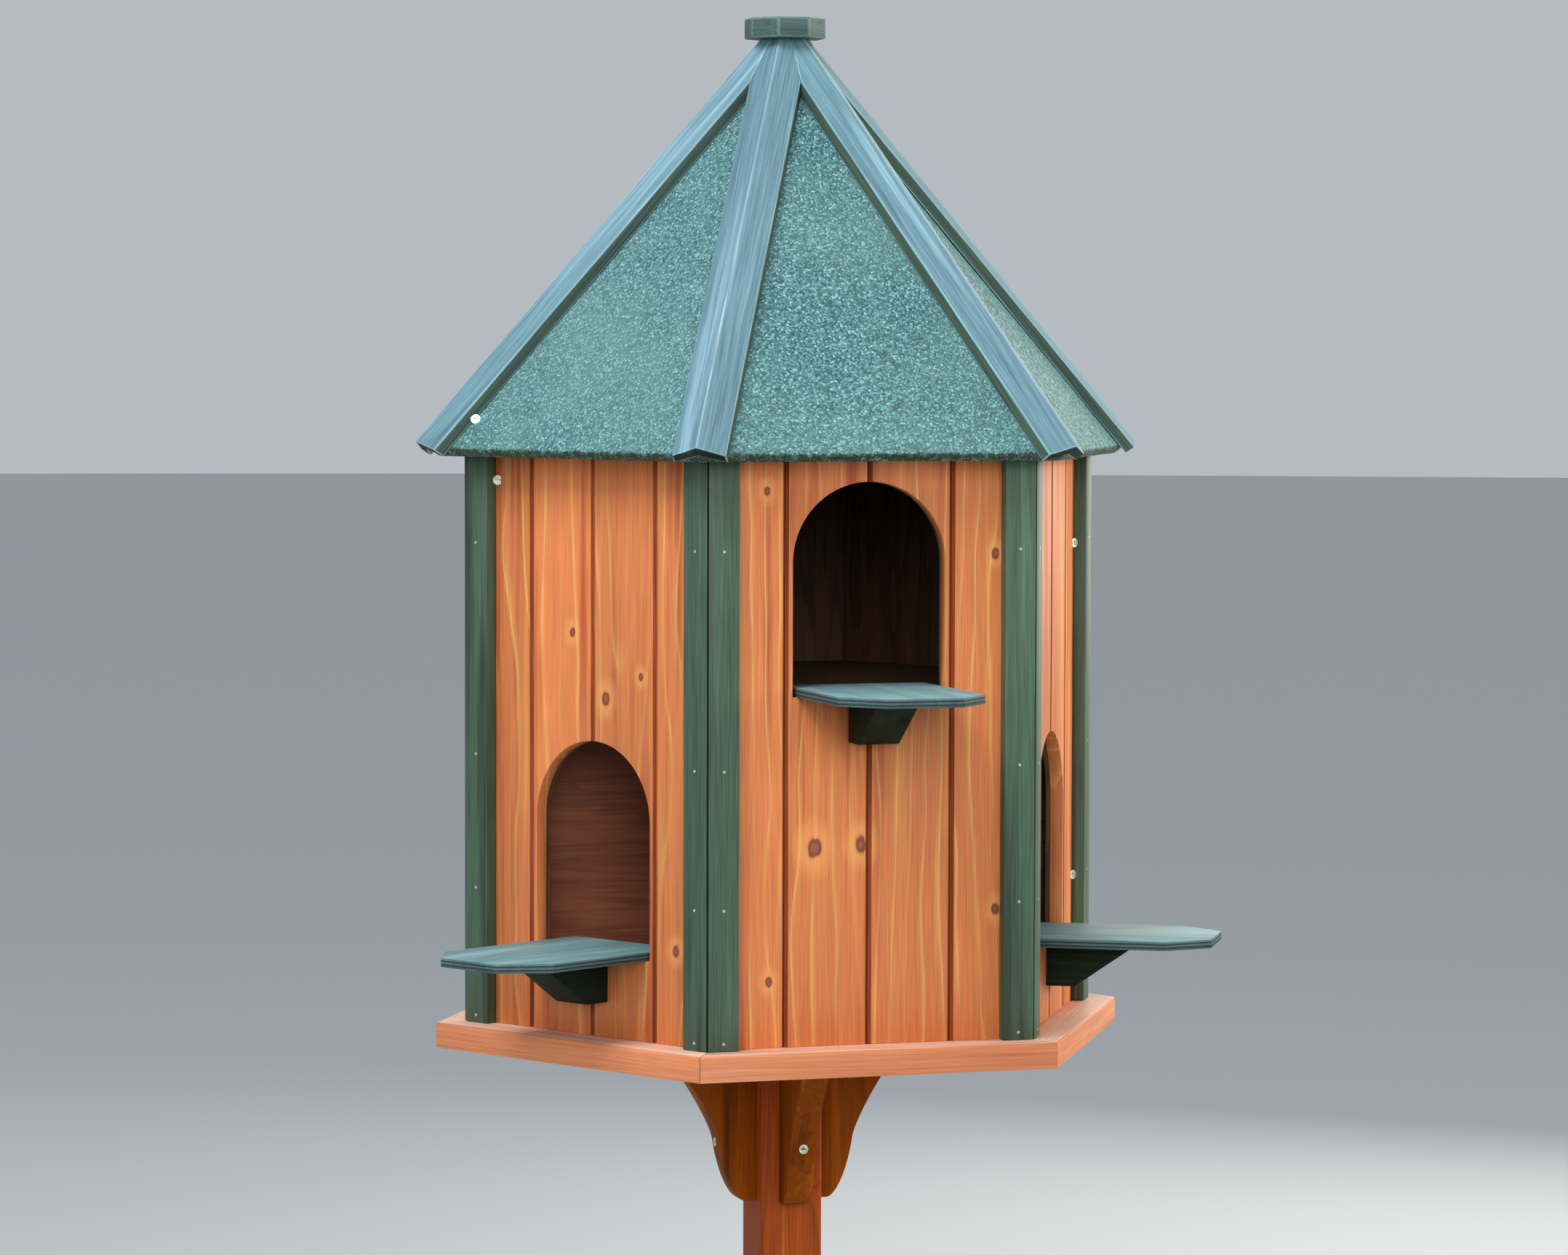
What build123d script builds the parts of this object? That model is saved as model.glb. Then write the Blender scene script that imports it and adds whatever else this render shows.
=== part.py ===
from build123d import *
import math
import os

# Six-sided, two-storey bird house (dovecote) on a square ground post.
# Millimetres, +Z up. The origin is on the post's axis at ground level. Face 0 looks along -Y,
# and face k is turned 60 * k degrees about Z. Corner k is the one between faces k and k + 1.

# Driving dimensions
SIDES = 6
TURN = 360 / SIDES
POST_SIDE = 58
POST_BURIED = 450
TRAY_UNDERSIDE = 1050
TRAY_THICK = 23
TRAY_CORNER_R = 326.4
TRAY_RIM_WIDE = 60
HOUSE_CORNER_R = 300          # over the corner strips
STRIP_WIDE = 29
STRIP_THICK = 12
STRIP_GAP = 0.6               # open mitre between the two strips of a corner
BOARD_THICK = 12
BOARD_PITCH = 76
LINING_THICK = 4
PARTITION_THICK = 9
FLOOR_THICK = 12
DOOR_WIDE = 139
LOWER_LEDGE, LOWER_CROWN = 79, 260        # landing top and door crown, above the tray
UPPER_LEDGE, UPPER_CROWN = 312, 490
LANDING_THICK = 8
LANDING_WIDE = 132
LANDING_OUT, LANDING_IN = 152, 45         # either side of the wall's outer face
LANDING_CLIP_LONG, LANDING_CLIP_WIDE = 37, 32
SUPPORT_WIDE, SUPPORT_HIGH = 38, 40
SUPPORT_TOP_OUT, SUPPORT_FOOT_OUT, SUPPORT_NOSE = 75, 26, 6
HIP_SLOPE = 48.5              # degrees from level, along a corner of the roof
FELT_APEX = 890.6             # above the tray, where the six felt faces would meet
EAVE_APOTHEM = 288.2          # upper edge of the felt at the eave
ROOF_BOARD_THICK = 9
FELT_THICK = 2
BATTEN_WIDE = 47
BATTEN_SIDE = 10.7
BATTEN_CROWN = 13.5           # thickness along its middle
BATTEN_LONG = 505             # slope length from the apex to its lower end
BATTEN_END_TILT = 8           # degrees off a square cut
CAP_CORNER_R = 37.6
CAP_THICK = 18.5
CAP_SIDES, CAP_TURN = 8, 18.5
CAP_UNDERSIDE = 884.8         # above the tray
BRACKET_THICK = 25
BRACKET_HIGH = 151
PIN_R = 1.3
PIN_LONG = 20
SCREW_HEAD_R, SCREW_HEAD_HIGH = 4.3, 2.6
SCREW_SHANK_R = 2.0
SCREW_RECESS = (1.1, 4.4, 2.4)            # slot width, slot length, twice the depth
BRACKET_SCREW_LONG, BATTEN_SCREW_LONG, WALL_SCREW_LONG = 52, 16, 18

# Derived sizes
HALF_TURN = math.radians(TURN / 2)
TRAY_TOP = TRAY_UNDERSIDE + TRAY_THICK
TRAY_APOTHEM = TRAY_CORNER_R * math.cos(HALF_TURN)
STRIP_FACE = HOUSE_CORNER_R * math.cos(HALF_TURN)
WALL_FACE = STRIP_FACE - STRIP_THICK
WALL_INNER = WALL_FACE - BOARD_THICK
LINING_INNER = WALL_INNER - LINING_THICK
FLOOR_TOP = UPPER_LEDGE - LANDING_THICK
FLOOR_UNDERSIDE = FLOOR_TOP - FLOOR_THICK
ROOF_THICK = ROOF_BOARD_THICK + FELT_THICK
FACE_SLOPE = math.degrees(math.atan(math.tan(math.radians(HIP_SLOPE)) / math.cos(HALF_TURN)))
SIN_FACE, COS_FACE = math.sin(math.radians(FACE_SLOPE)), math.cos(math.radians(FACE_SLOPE))
SIN_HIP, COS_HIP = math.sin(math.radians(HIP_SLOPE)), math.cos(math.radians(HIP_SLOPE))
# how far the felt falls away from the hip, per unit of width across the batten
HIP_FALL = math.tan(math.atan2(math.sin(HALF_TURN) * SIN_FACE,
                               math.cos(HALF_TURN) * SIN_FACE * SIN_HIP + COS_FACE * COS_HIP))
WALL_HIGH = FELT_APEX - WALL_FACE * SIN_FACE / COS_FACE - ROOF_THICK / COS_FACE
STRIP_HIGH = FELT_APEX - STRIP_FACE * SIN_FACE / COS_FACE - ROOF_THICK / COS_FACE - 3
REACH = 600                   # longer than anything it trims


def prism(points, low, high):
    """A plan outline raised from low to high above the tray's top."""
    outline = make_face(Polyline(*points, close=True))
    return Pos(0, 0, TRAY_TOP + low) * extrude(outline, amount=high - low)


def side_prism(points, half_wide):
    """An outline of (distance out from the axis, height above the tray), as thick as the piece."""
    outline = make_face(Polyline(*[(-out, TRAY_TOP + up) for out, up in points], close=True))
    return extrude(Plane.YZ * outline, amount=half_wide, both=True)


def sector(low, high):
    """The wedge of space that belongs to face 0, out to the planes through its two corners."""
    x = REACH * math.tan(HALF_TURN)
    return prism([(0, 0), (-x, -REACH), (x, -REACH)], low, high)


def hexagon(apothem, low, high):
    """A six-sided plate with a flat side on face 0."""
    corner = apothem / math.cos(HALF_TURN)
    points = [(corner * math.sin(HALF_TURN * (2 * k + 1)), -corner * math.cos(HALF_TURN * (2 * k + 1)))
              for k in range(SIDES)]
    return prism(points, low, high)


def at_face(shape, face):
    return Rot(0, 0, TURN * face) * shape


def at_corner(shape, corner):
    return Rot(0, 0, TURN * (corner + 0.5)) * shape


def at_post_side(shape, quarter):
    return Rot(0, 0, 90 * quarter) * shape


def save(shape, name):
    export_step(shape, f"parts/{name}.step")


def screw_blank(length):
    """The space a countersunk screw fills, with its head's top at the origin and its point down."""
    head = Pos(0, 0, -SCREW_HEAD_HIGH / 2) * Cone(SCREW_SHANK_R, SCREW_HEAD_R, SCREW_HEAD_HIGH)
    return head + Pos(0, 0, -length / 2) * Cylinder(SCREW_SHANK_R, length)


def recessed(blank):
    """The same screw with a cross recess in its head."""
    narrow, wide, deep = SCREW_RECESS
    return blank - Box(narrow, wide, deep) - Box(wide, narrow, deep)


def driven(fixing, head_out, height, side=0.0, yaw=0.0):
    """Stands a screw in face 0, pointing inwards, with its head at head_out from the axis."""
    return Pos(side, -head_out, TRAY_TOP + height) * Rot(0, 0, yaw) * Rot(90, 0, 0) * fixing


def drill(piece, fixings):
    """Cuts the holes that pins and screws make in a piece."""
    box = piece.bounding_box()
    for fixing in fixings:
        if box.overlaps(fixing.bounding_box()):
            piece = piece - fixing
    return piece


# Ground post and the four shaped brackets that carry the tray
def ground_post():
    length = TRAY_UNDERSIDE + POST_BURIED
    post = Pos(0, 0, length / 2 - POST_BURIED) * Box(POST_SIDE, POST_SIDE, length)
    return chamfer(post.edges().filter_by(Axis.Z), 1.5)


def bracket():
    """Hollow curve above, round toe below, with its straight back on the post."""
    back, tip = POST_SIDE / 2, 116
    top, foot = -TRAY_THICK, -TRAY_THICK - BRACKET_HIGH
    lip = top - 8
    curve = [(tip, lip), (95, -54), (77, -81), (66.8, -110), (62.4, -138), (56, -159), (40, foot)]
    profile = make_face([
        Line((back, top), (tip, top)),
        Line((tip, top), curve[0]),
        Spline(*curve),
        Line(curve[-1], (back, foot)),
        Line((back, foot), (back, top)),
    ])
    upright = Rot(0, 0, -90) * Rot(90, 0, 0) * profile
    return Pos(0, 0, TRAY_TOP) * extrude(upright, amount=BRACKET_THICK / 2, both=True)


BRACKET_SCREW_PLACE = (64.9, -120)        # out from the axis, height above the tray
BRACKET_NAMES = ["front", "right", "back", "left"]


# Tray
def tray_rim():
    rim = hexagon(TRAY_APOTHEM, -TRAY_THICK, 0) - hexagon(TRAY_APOTHEM - TRAY_RIM_WIDE, -TRAY_THICK, 0)
    edge = rim.edges().filter_by(Axis.X).group_by(Axis.Y)[0].sort_by(Axis.Z)[-1]
    return fillet(edge, 2.5) & sector(-TRAY_THICK, 0)


# The three front faces have an arched doorway through boards and lining, each with its landing.
# By face: the name of its landing, the landing's top and the door's crown.
DOORWAYS = {5: ("left", LOWER_LEDGE, LOWER_CROWN), 0: ("front", UPPER_LEDGE, UPPER_CROWN),
            1: ("right", LOWER_LEDGE, LOWER_CROWN)}


def doorway(ledge, crown):
    """The arched hole in face 0, from the landing's underside up to the crown."""
    sill = ledge - LANDING_THICK
    half = DOOR_WIDE / 2
    spring = crown - half
    outline = make_face([
        Line((-half, sill), (half, sill)),
        Line((half, sill), (half, spring)),
        ThreePointArc((half, spring), (0, crown), (-half, spring)),
        Line((-half, spring), (-half, sill)),
    ])
    return Pos(0, 0, TRAY_TOP) * extrude(Plane.XZ * outline, amount=REACH)


# Walls: four matched boards a face
def board(index):
    """One of the four boards of face 0, counted from the left: V-joints, a tongue and a groove."""
    tongue, half_tongue, middle, bevel, slack = 4.5, 1.6, BOARD_THICK / 2, 2.2, 0.2
    left, right = (index - 2) * BOARD_PITCH, (index - 1) * BOARD_PITCH
    corner_out, corner_in = WALL_FACE * math.tan(HALF_TURN), WALL_INNER * math.tan(HALF_TURN)
    if index == 0:
        left_edge = [(-corner_in, BOARD_THICK), (-corner_out, 0)]
    else:
        left_edge = [(left, BOARD_THICK), (left, middle + half_tongue + slack),
                     (left + tongue + slack, middle + half_tongue + slack),
                     (left + tongue + slack, middle - half_tongue - slack),
                     (left, middle - half_tongue - slack), (left, bevel), (left + bevel, 0)]
    if index == 3:
        right_edge = [(corner_out, 0), (corner_in, BOARD_THICK)]
    else:
        right_edge = [(right - bevel, 0), (right, bevel), (right, middle - half_tongue),
                      (right + tongue, middle - half_tongue), (right + tongue, middle + half_tongue),
                      (right, middle + half_tongue), (right, BOARD_THICK)]
    return prism([(x, depth - WALL_FACE) for x, depth in left_edge + right_edge], 0, WALL_HIGH)


BOARDS = [board(index) for index in range(4)]


def lining(low, high):
    """One thin sheet of face 0's lining, mitred at the corners."""
    out, inside = WALL_INNER * math.tan(HALF_TURN), LINING_INNER * math.tan(HALF_TURN)
    return prism([(-out, -WALL_INNER), (out, -WALL_INNER), (inside, -LINING_INNER),
                  (-inside, -LINING_INNER)], low, high)


LININGS = [lining(0, FLOOR_UNDERSIDE), lining(FLOOR_TOP, WALL_HIGH)]


# Corner strips: two mitred battens over each corner, nailed on with thin pins
PIN_HEIGHTS = [7, 122, 242, 431]
PIN_OUT_OF_CORNER = 15


def corner_strip():
    """The strip at the right end of face 0."""
    corner = HOUSE_CORNER_R / 2 - STRIP_GAP / 2
    mitre = corner - STRIP_THICK * math.tan(HALF_TURN)
    inner = HOUSE_CORNER_R / 2 - STRIP_WIDE
    strip = prism([(inner, -STRIP_FACE), (corner, -STRIP_FACE), (mitre, -WALL_FACE),
                   (inner, -WALL_FACE)], 0, STRIP_HIGH)
    edge = strip.edges().filter_by(Axis.Z).filter_by_position(Axis.X, inner - 0.1, inner + 0.1)
    return chamfer(edge.sort_by(Axis.Y)[0], 1.0)


def strip_pins():
    """The pins of one right-hand strip."""
    x = HOUSE_CORNER_R / 2 - PIN_OUT_OF_CORNER
    pin = Rot(90, 0, 0) * Cylinder(PIN_R, PIN_LONG)
    return [Pos(x, -STRIP_FACE + PIN_LONG / 2 - 0.3, TRAY_TOP + z) * pin for z in PIN_HEIGHTS]


RIGHT_STRIP, RIGHT_PINS = corner_strip(), strip_pins()
LEFT_STRIP = mirror(RIGHT_STRIP, Plane.YZ)
LEFT_PINS = [mirror(pin, Plane.YZ) for pin in RIGHT_PINS]

# The screws that hold the outer boards to their lining are driven askew beside a strip:
# (face, which end of the face, height above the tray).
WALL_SCREW_PLACES = [(1, 1, 118), (1, 1, 426), (5, -1, 487), (2, -1, 118), (2, -1, 426),
                     (3, 1, 118), (3, 1, 426), (4, -1, 118), (4, -1, 426)]
WALL_SCREW_YAW = 35
WALL_SCREW_BESIDE = 3.4                   # from the strip's edge to the middle of the head
WALL_SCREW_SUNK = -1.6                    # the askew head stands a little proud


def wall_screw(fixing, face, end, height):
    side = end * (HOUSE_CORNER_R / 2 - STRIP_WIDE - WALL_SCREW_BESIDE)
    upright = driven(fixing, WALL_FACE - WALL_SCREW_SUNK, height, side, -end * WALL_SCREW_YAW)
    return at_face(upright, face)


# Landings: a clipped plywood plate through each doorway, on a wedge-shaped block
def landing(top):
    half, clip = LANDING_WIDE / 2, LANDING_WIDE / 2 - LANDING_CLIP_WIDE
    tip, shoulder = WALL_FACE + LANDING_OUT, WALL_FACE + LANDING_OUT - LANDING_CLIP_LONG
    inside = WALL_FACE - LANDING_IN
    return prism([(-half, -inside), (half, -inside), (half, -shoulder), (clip, -tip),
                  (-clip, -tip), (-half, -shoulder)], top - LANDING_THICK, top)


def landing_support(top):
    return side_prism([(WALL_FACE, top), (WALL_FACE + SUPPORT_TOP_OUT, top),
                       (WALL_FACE + SUPPORT_TOP_OUT, top - SUPPORT_NOSE),
                       (WALL_FACE + SUPPORT_FOOT_OUT, top - SUPPORT_HIGH),
                       (WALL_FACE, top - SUPPORT_HIGH)], SUPPORT_WIDE / 2)


# Inside: a floor between the storeys. The upper storey is one room. On the lower one a panel from
# corner to corner and a divider in front of it make a room behind each doorway.
def back_panel():
    half = PARTITION_THICK / 2
    slab = prism([(-REACH, -half), (REACH, -half), (REACH, half), (-REACH, half)], 0, FLOOR_UNDERSIDE)
    return slab & hexagon(LINING_INNER, 0, FLOOR_UNDERSIDE)


def divider():
    half = PARTITION_THICK / 2
    return prism([(-half, -LINING_INNER), (half, -LINING_INNER), (half, -half), (-half, -half)],
                 0, FLOOR_UNDERSIDE)


# Roof
def roof_slab(depth, thick, set_back, rounding):
    """Section of one roof layer: depth below the felt's face, set back up the slope at the eave."""
    eave_up = FELT_APEX - EAVE_APOTHEM * SIN_FACE / COS_FACE
    out = EAVE_APOTHEM - depth * SIN_FACE - set_back * COS_FACE
    up = eave_up - depth * COS_FACE + set_back * SIN_FACE
    slab = side_prism([(0, FELT_APEX - depth / COS_FACE), (out, up),
                       (out - thick * SIN_FACE, up - thick * COS_FACE),
                       (0, FELT_APEX - (depth + thick) / COS_FACE)], REACH)
    outer_edge = slab.edges().filter_by(Axis.X).group_by(Axis.Y)[0]
    return fillet(outer_edge, rounding)


def roof_layers():
    """Face 0's board and its felt, which turns down over the eave."""
    wedge = sector(0, CAP_UNDERSIDE)
    panel = roof_slab(FELT_THICK, ROOF_BOARD_THICK, FELT_THICK, 3) & wedge
    felt = (roof_slab(0, ROOF_THICK, 0, 5) & wedge) - panel
    return panel, felt


def ridge_batten():
    """The hip cover, set along -Y: a five-sided section with a V-shaped bed for the two felt faces."""
    half = BATTEN_WIDE / 2
    bed_side = -half * HIP_FALL
    section = make_face(Polyline((-half, bed_side), (0, 0), (half, bed_side),
                                 (half, bed_side + BATTEN_SIDE), (0, BATTEN_CROWN),
                                 (-half, bed_side + BATTEN_SIDE), close=True))
    apex = Vector(0, 0, TRAY_TOP + FELT_APEX)
    down_hip, off_hip = Vector(0, -COS_HIP, -SIN_HIP), Vector(0, -SIN_HIP, COS_HIP)
    across_hip = Plane(origin=apex - down_hip * REACH, x_dir=(1, 0, 0), z_dir=down_hip)
    bar = extrude(across_hip * section, amount=REACH * 2)
    crown_end = apex + down_hip * BATTEN_LONG + off_hip * BATTEN_CROWN
    cut_angle = math.radians(HIP_SLOPE + BATTEN_END_TILT)
    end_cut = Plane(origin=crown_end, z_dir=(0, -math.cos(cut_angle), -math.sin(cut_angle)))
    return split(bar, end_cut, keep=Keep.BOTTOM) & sector(0, CAP_UNDERSIDE)


# One screw a batten, driven askew where its side meets the felt: +1 on its right, -1 on its left.
BATTEN_SCREW_SIDES = [1, 1, 1, 1, 1, -1]
BATTEN_SCREW_DOWN = 457.5     # slope length from the apex
BATTEN_SCREW_BESIDE, BATTEN_SCREW_RAISED = 2.5, 0.5       # from the side's lower edge to the head
BATTEN_SCREW_TILT = 35        # degrees down from square to the side


def batten_screw(fixing):
    """The screw on the right-hand side of the batten set along -Y."""
    off = BATTEN_SCREW_RAISED - BATTEN_WIDE / 2 * HIP_FALL
    head = Vector(BATTEN_WIDE / 2 + BATTEN_SCREW_BESIDE,
                  -BATTEN_SCREW_DOWN * COS_HIP - off * SIN_HIP,
                  TRAY_TOP + FELT_APEX - BATTEN_SCREW_DOWN * SIN_HIP + off * COS_HIP)
    tilt = math.radians(BATTEN_SCREW_TILT)
    back_out = (math.cos(tilt), -math.sin(tilt) * SIN_HIP, math.sin(tilt) * COS_HIP)
    return Plane(origin=head, x_dir=(0, COS_HIP, SIN_HIP), z_dir=back_out) * fixing


def sided(shape, side):
    """The shape, or its mirror image for a left-hand side."""
    return shape if side > 0 else mirror(shape, Plane.YZ)


def roof_cap():
    """The eight-sided block that covers the battens' upper ends."""
    angles = [math.radians(CAP_TURN + 360 / CAP_SIDES * k) for k in range(CAP_SIDES)]
    points = [(CAP_CORNER_R * math.cos(angle), CAP_CORNER_R * math.sin(angle)) for angle in angles]
    cap = prism(points, CAP_UNDERSIDE, CAP_UNDERSIDE + CAP_THICK)
    return fillet(cap.edges(), 1.2)


def main():
    os.makedirs("parts", exist_ok=True)

    long_blank = screw_blank(BRACKET_SCREW_LONG)
    bracket_holes = [at_post_side(driven(long_blank, *BRACKET_SCREW_PLACE), k) for k in range(4)]
    bracket_screws = [at_post_side(driven(recessed(long_blank), *BRACKET_SCREW_PLACE), k)
                      for k in range(4)]
    wall_blank = screw_blank(WALL_SCREW_LONG)
    wall_holes = [wall_screw(wall_blank, *place) for place in WALL_SCREW_PLACES]
    wall_screws = [wall_screw(recessed(wall_blank), *place) for place in WALL_SCREW_PLACES]
    roof_blank = screw_blank(BATTEN_SCREW_LONG)
    roof_holes = [at_corner(sided(batten_screw(roof_blank), side), corner)
                  for corner, side in enumerate(BATTEN_SCREW_SIDES)]
    roof_screws = [at_corner(sided(batten_screw(recessed(roof_blank)), side), corner)
                   for corner, side in enumerate(BATTEN_SCREW_SIDES)]
    face_pins = LEFT_PINS + RIGHT_PINS

    save(drill(ground_post(), bracket_holes), "ground_post")
    for quarter, name in enumerate(BRACKET_NAMES):
        save(drill(at_post_side(bracket(), quarter), bracket_holes), f"post_bracket_{name}")

    save(hexagon(TRAY_APOTHEM - TRAY_RIM_WIDE, -TRAY_THICK, 0), "tray_base")
    rim = tray_rim()
    for face in range(SIDES):
        save(at_face(rim, face), f"tray_rim_{face + 1}")

    lining_sheets = []
    for face in range(SIDES):
        planks, linings = BOARDS, LININGS
        if face in DOORWAYS:
            hole = doorway(*DOORWAYS[face][1:])
            planks, linings = [[piece - hole for piece in layer] for layer in (BOARDS, LININGS)]
        planks = [drill(at_face(drill(plank, face_pins), face), wall_holes) for plank in planks]
        save(Compound(planks), f"wall_{face + 1}")
        lining_sheets += [drill(at_face(sheet, face), wall_holes) for sheet in linings]
    save(Compound(lining_sheets), "wall_linings")

    right, left = drill(RIGHT_STRIP, RIGHT_PINS), drill(LEFT_STRIP, LEFT_PINS)
    for corner in range(SIDES):
        pair = [at_face(right, corner), at_face(left, corner + 1)]
        save(Compound([drill(strip, wall_holes) for strip in pair]), f"corner_strips_{corner + 1}")

    for face, (place, ledge, _) in DOORWAYS.items():
        save(at_face(landing(ledge), face), f"landing_{place}")
        save(at_face(landing_support(ledge - LANDING_THICK), face), f"landing_support_{place}")

    save(hexagon(WALL_INNER, FLOOR_UNDERSIDE, FLOOR_TOP), "loft_floor")
    save(back_panel(), "lower_back_panel")
    save(divider(), "lower_divider")

    panel, felt = roof_layers()
    batten = ridge_batten()
    for face in range(SIDES):
        save(drill(at_face(panel, face), roof_holes), f"roof_panel_{face + 1}")
        save(drill(at_corner(batten, face), roof_holes), f"ridge_batten_{face + 1}")
    felt_sheets = [drill(at_face(felt, face), roof_holes) for face in range(SIDES)]
    save(Compound(felt_sheets), "roof_felt")
    save(roof_cap(), "roof_cap")

    save(Compound([at_face(pin, face) for face in range(SIDES) for pin in face_pins]), "strip_pins")
    save(Compound(bracket_screws + wall_screws + roof_screws), "fixing_screws")


main()
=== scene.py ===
import math
import random

import bpy
from mathutils import Matrix, Vector


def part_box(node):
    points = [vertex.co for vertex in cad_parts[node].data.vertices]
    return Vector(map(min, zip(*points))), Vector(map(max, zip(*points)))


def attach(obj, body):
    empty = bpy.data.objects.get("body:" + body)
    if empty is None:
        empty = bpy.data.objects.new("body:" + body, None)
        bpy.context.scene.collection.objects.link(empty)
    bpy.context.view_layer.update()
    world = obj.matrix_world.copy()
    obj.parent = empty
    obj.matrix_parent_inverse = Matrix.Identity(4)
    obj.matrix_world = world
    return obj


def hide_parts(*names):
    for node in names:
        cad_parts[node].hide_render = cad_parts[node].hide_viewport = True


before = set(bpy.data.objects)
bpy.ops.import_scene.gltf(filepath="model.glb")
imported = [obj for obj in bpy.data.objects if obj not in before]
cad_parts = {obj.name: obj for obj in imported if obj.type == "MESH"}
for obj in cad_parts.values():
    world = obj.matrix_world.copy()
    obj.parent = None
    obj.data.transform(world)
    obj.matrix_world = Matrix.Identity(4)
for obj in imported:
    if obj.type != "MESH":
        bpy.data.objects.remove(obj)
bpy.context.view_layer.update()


# ---------------------------------------------------------------------------------------------
# The bench: a plain pale floor at ground level and a pale surround, with soft daylight from high
# on the left, a low warm light from the right, and gentle fill in front and behind.
# ---------------------------------------------------------------------------------------------
bpy.context.scene.view_settings.view_transform = "Standard"

CAMERA_HEADING, CAMERA_TILT, CAMERA_ROLL = -17.487, 86.784, 0.149
camera_data = bpy.data.cameras.new("camera")
camera_data.lens = 117.0
camera_data.sensor_width = 36.0
camera_data.clip_end = 200.0
camera = bpy.data.objects.new("camera", camera_data)
camera.location = (-1.3965, -4.4340, 1.6844)
camera.matrix_world = (Matrix.Translation(camera.location)
                       @ Matrix.Rotation(math.radians(CAMERA_HEADING), 4, "Z")
                       @ Matrix.Rotation(math.radians(CAMERA_TILT), 4, "X")
                       @ Matrix.Rotation(math.radians(CAMERA_ROLL), 4, "Z"))
bpy.context.scene.collection.objects.link(camera)
bpy.context.scene.camera = camera

surround = bpy.data.worlds.new("pale_surround")
surround.use_nodes = True
bpy.context.scene.world = surround
sky = surround.node_tree.nodes["Background"]
sky.inputs["Color"].default_value = (0.80, 0.86, 0.92, 1)
sky.inputs["Strength"].default_value = 0.58


def new_finish(name):
    """A new material, with its node tree and its shader to work on."""
    finish = bpy.data.materials.new(name)
    finish.use_nodes = True
    return finish, finish.node_tree, finish.node_tree.nodes["Principled BSDF"]


bpy.ops.mesh.primitive_circle_add(vertices=96, radius=60, fill_type="NGON", location=(0, 0, 0))
floor = bpy.context.active_object
floor.name = "floor"
pale_floor, _, floor_shader = new_finish("pale_floor")
floor_shader.inputs["Base Color"].default_value = (0.56, 0.58, 0.59, 1)
floor_shader.inputs["Roughness"].default_value = 0.9
floor.data.materials.append(pale_floor)

HOUSE_MIDDLE = Vector((0, 0, 1.4))


def soft_light(name, place, size, power, colour):
    """A square soft box that faces the middle of the house."""
    data = bpy.data.lights.new(name, "AREA")
    data.size = size
    data.energy = power
    data.color = colour
    light = bpy.data.objects.new(name, data)
    light.location = place
    light.rotation_euler = (HOUSE_MIDDLE - light.location).to_track_quat("-Z", "Y").to_euler()
    bpy.context.scene.collection.objects.link(light)


soft_light("left_high_sky", Vector((-2.8, -1.9, 5.8)), 2.6, 250, (0.90, 0.95, 1.0))
soft_light("front_fill", Vector((-1.2, -4.6, 2.9)), 2.4, 95, (1.0, 0.97, 0.93))
soft_light("right_low_sun", Vector((4.4, -0.6, 2.3)), 1.6, 135, (1.0, 0.95, 0.82))
soft_light("back_right_sky", Vector((3.6, 4.4, 2.8)), 3.4, 115, (1.0, 0.96, 0.84))


# ---------------------------------------------------------------------------------------------
# Ground post: planed softwood, 58 mm square, brushed with an orange-brown stain. Its foot
# stands in the ground and its top is hidden under the tray.
# ---------------------------------------------------------------------------------------------
def fresh_block(name, low, high):
    """A box between two corners. Its object stays at the origin."""
    bpy.ops.object.select_all(action="DESELECT")
    bpy.ops.mesh.primitive_cube_add(size=1, location=(Vector(low) + Vector(high)) / 2)
    block = bpy.context.active_object
    block.name = name
    block.scale = Vector(high) - Vector(low)
    bpy.ops.object.transform_apply(location=True, rotation=True, scale=True)
    return block


def select_only(piece):
    bpy.ops.object.select_all(action="DESELECT")
    piece.select_set(True)
    bpy.context.view_layer.objects.active = piece


def saw_off(piece, point, outward):
    """Cuts away all of the piece on the outward side of a plane, and closes the cut."""
    select_only(piece)
    bpy.ops.object.mode_set(mode="EDIT")
    bpy.ops.mesh.select_all(action="SELECT")
    bpy.ops.mesh.bisect(plane_co=point, plane_no=outward, use_fill=True, clear_outer=True)
    bpy.ops.object.mode_set(mode="OBJECT")


NEAR = 0.0001


def is_upright(a, b):
    """Whether one end of an edge stands straight over the other."""
    return (a - b).xy.length < NEAR


def choose_edges(piece, test):
    """Selects the edges whose two ends both pass the test."""
    for group in (piece.data.polygons, piece.data.edges, piece.data.vertices):
        group.foreach_set("select", [False] * len(group))
    for edge in piece.data.edges:
        ends = [piece.data.vertices[i].co for i in edge.vertices]
        edge.select = test(*ends)
        for i in edge.vertices:
            piece.data.vertices[i].select |= edge.select


def round_edges(piece, test, width, segments, finish_slot=-1):
    """Rounds the chosen edges of a piece; the new faces can take another of its finishes."""
    select_only(piece)
    choose_edges(piece, test)
    bpy.ops.object.mode_set(mode="EDIT")
    bpy.ops.mesh.select_mode(type="EDGE")
    bpy.ops.mesh.bevel(offset=width, segments=segments, affect="EDGES", material=finish_slot)
    bpy.ops.object.mode_set(mode="OBJECT")


def apply_last(piece):
    select_only(piece)
    bpy.ops.object.modifier_apply(modifier=piece.modifiers[-1].name)


def soften(piece, width, segments=2, arris_slot=-1):
    """Takes the sharpness off every edge, and smooths the shading of what is curved."""
    arris = piece.modifiers.new("arris", "BEVEL")
    arris.width = width
    arris.segments = segments
    arris.limit_method = "ANGLE"
    arris.angle_limit = math.radians(32)
    arris.material = arris_slot
    apply_last(piece)
    bpy.ops.object.shade_smooth_by_angle(angle=math.radians(40))


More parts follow.
